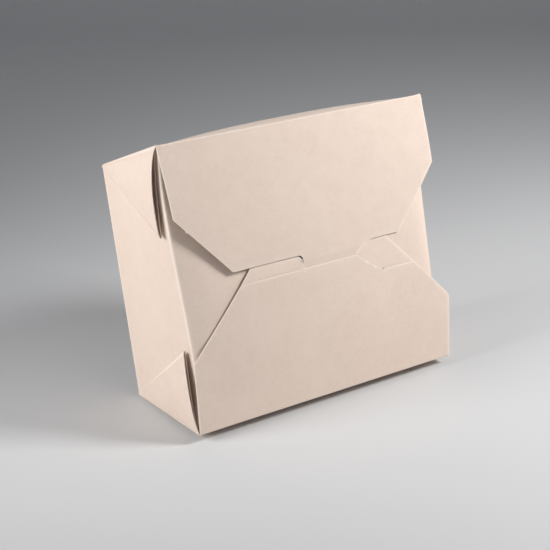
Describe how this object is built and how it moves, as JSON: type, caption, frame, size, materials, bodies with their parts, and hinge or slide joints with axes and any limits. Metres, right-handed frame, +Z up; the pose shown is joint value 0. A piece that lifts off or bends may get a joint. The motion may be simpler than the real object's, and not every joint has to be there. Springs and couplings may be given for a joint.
{
  "type": "takeout food box",
  "caption": "Folded white paperboard carton with tapered walls, web corners and an interlocking flap lid, standing on its long wall.",
  "frame": {"origin": "on the ground under the middle of the carton, which stands on its lower long wall", "axes": "+Z up, X along the long edges of the mouth, lid facing -Y and leaning back 13 degrees"},
  "size_m": [0.166, 0.0924, 0.1451],
  "materials": {
    "board": "matte uncoated white paperboard"
  },
  "bodies": {
    "carton": {"carton_body": "board"},
    "upper_flap": {"upper_lid_flap": "board"},
    "lower_flap": {"lower_lid_flap": "board"}
  },
  "joints": [
    {"name": "upper_flap_open", "type": "hinge", "parent": "carton", "child": "upper_flap", "pos_m": [0, -0.0138, 0.14508], "axis": [-1, 0, 0], "range_deg": [0, 90]},
    {"name": "lower_flap_open", "type": "hinge", "parent": "carton", "child": "lower_flap", "pos_m": [0, -0.04619, 0.00477], "axis": [1, 0, 0], "range_deg": [0, 90]}
  ],
  "couplings": [
    {"joint": "lower_flap_open", "follows": "upper_flap_open", "ratio": 1}
  ]
}
